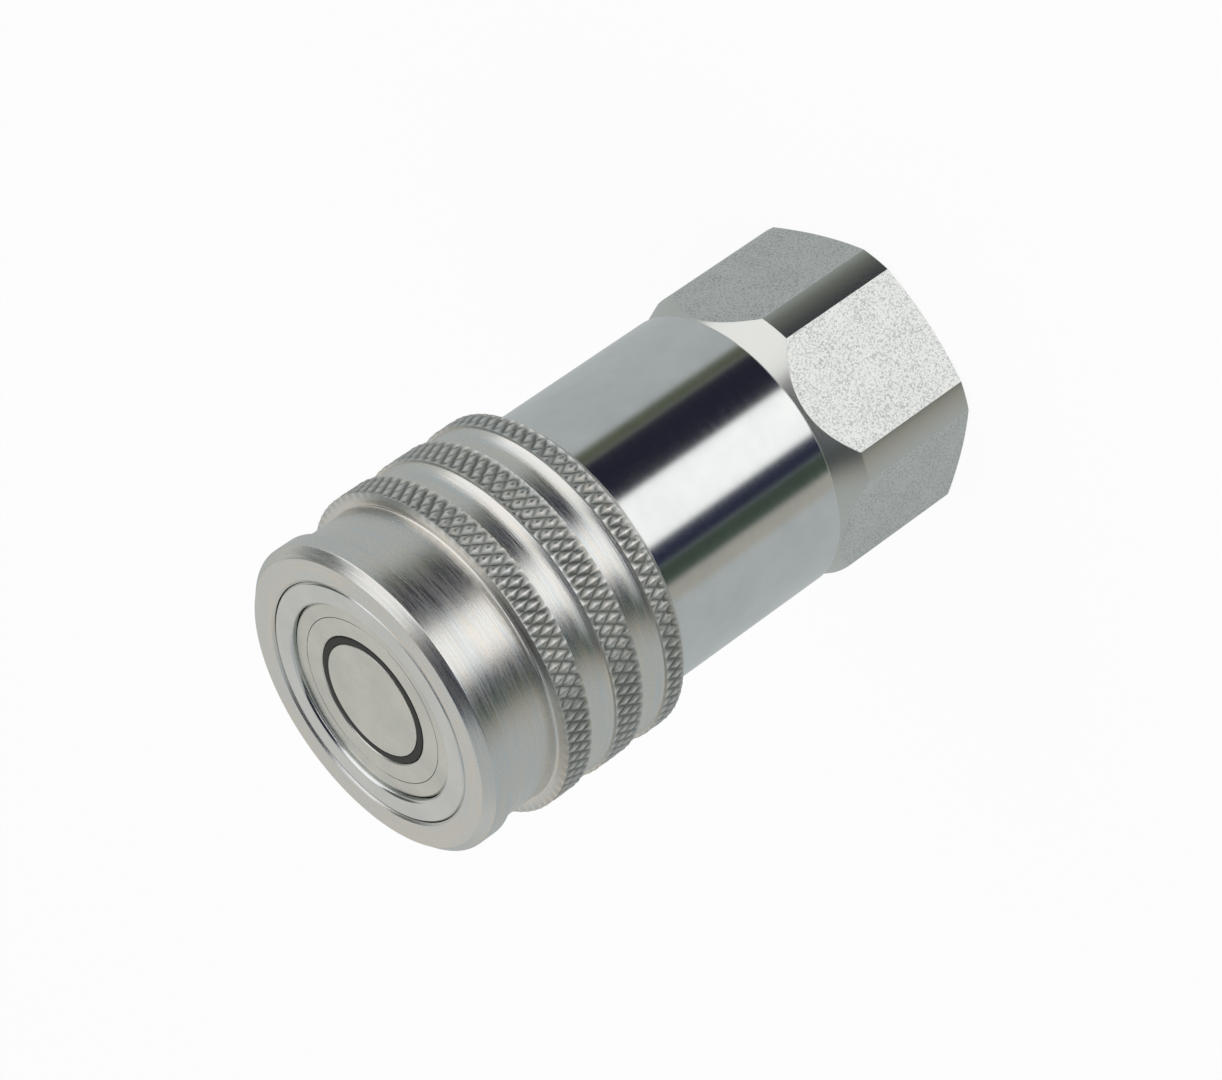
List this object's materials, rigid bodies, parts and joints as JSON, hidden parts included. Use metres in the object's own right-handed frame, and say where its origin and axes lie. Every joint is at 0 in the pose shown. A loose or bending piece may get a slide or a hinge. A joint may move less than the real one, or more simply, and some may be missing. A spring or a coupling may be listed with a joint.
{
  "type": "flat-face hydraulic quick coupling socket",
  "caption": "Flat-face quick coupling socket with knurled locking sleeve, smooth body, spring-loaded face rings and hexagonal threaded adaptor.",
  "frame": {"origin": "centre of the flat rear face of the hexagon, on the axis", "axes": "+Z along the axis from the rear port to the mating face; one flat of the hexagon faces -Y; the part stands on its rear face"},
  "size_m": [0.04, 0.04, 0.0758],
  "materials": {
    "plated_steel": "zinc plated, turned, satin",
    "knurled_steel": "zinc plated, diamond knurled bands",
    "smooth_steel": "zinc plated, smooth and bright",
    "spring_steel": "drawn spring wire",
    "ball_steel": "polished balls",
    "seal_rubber": "moulded black rubber",
    "backup_plastic": "off-white plastic"
  },
  "bodies": {
    "housing": {"hex_adaptor": "plated_steel", "coupler_body": "smooth_steel", "locking_balls": "ball_steel", "sleeve_spring": "spring_steel", "sleeve_spring_washer": "plated_steel", "sleeve_stop_ring": "spring_steel", "ring_spring": "spring_steel", "valve_spring": "spring_steel", "valve_spring_seat": "plated_steel", "valve_guide_ring": "backup_plastic", "valve_o_ring": "seal_rubber", "valve_backup_ring": "backup_plastic", "probe_o_ring": "seal_rubber", "probe_backup_ring": "backup_plastic", "stem": "plated_steel", "stem_seal": "seal_rubber", "stem_spider": "plated_steel", "stem_washer": "plated_steel", "stem_nut": "plated_steel", "adaptor_o_ring": "seal_rubber", "adaptor_backup_ring": "backup_plastic"},
    "sleeve": {"locking_sleeve": "knurled_steel"},
    "retaining_ring": {"ball_retaining_ring": "plated_steel"},
    "valve": {"valve_sleeve": "plated_steel"}
  },
  "joints": [
    {"name": "sleeve_slide", "type": "slide", "parent": "housing", "child": "sleeve", "axis": [0, 0, -1], "range_m": [0, 0.0025], "stiffness_N_per_m": 4000, "springref_m": -0.005, "deforming": ["sleeve_spring"]},
    {"name": "retaining_ring_slide", "type": "slide", "parent": "housing", "child": "retaining_ring", "axis": [0, 0, -1], "range_m": [0, 0.0085], "stiffness_N_per_m": 900, "springref_m": -0.008, "deforming": ["ring_spring"]},
    {"name": "valve_slide", "type": "slide", "parent": "housing", "child": "valve", "axis": [0, 0, -1], "range_m": [0, 0.0085], "stiffness_N_per_m": 1500, "springref_m": -0.01, "deforming": ["valve_spring"]}
  ]
}
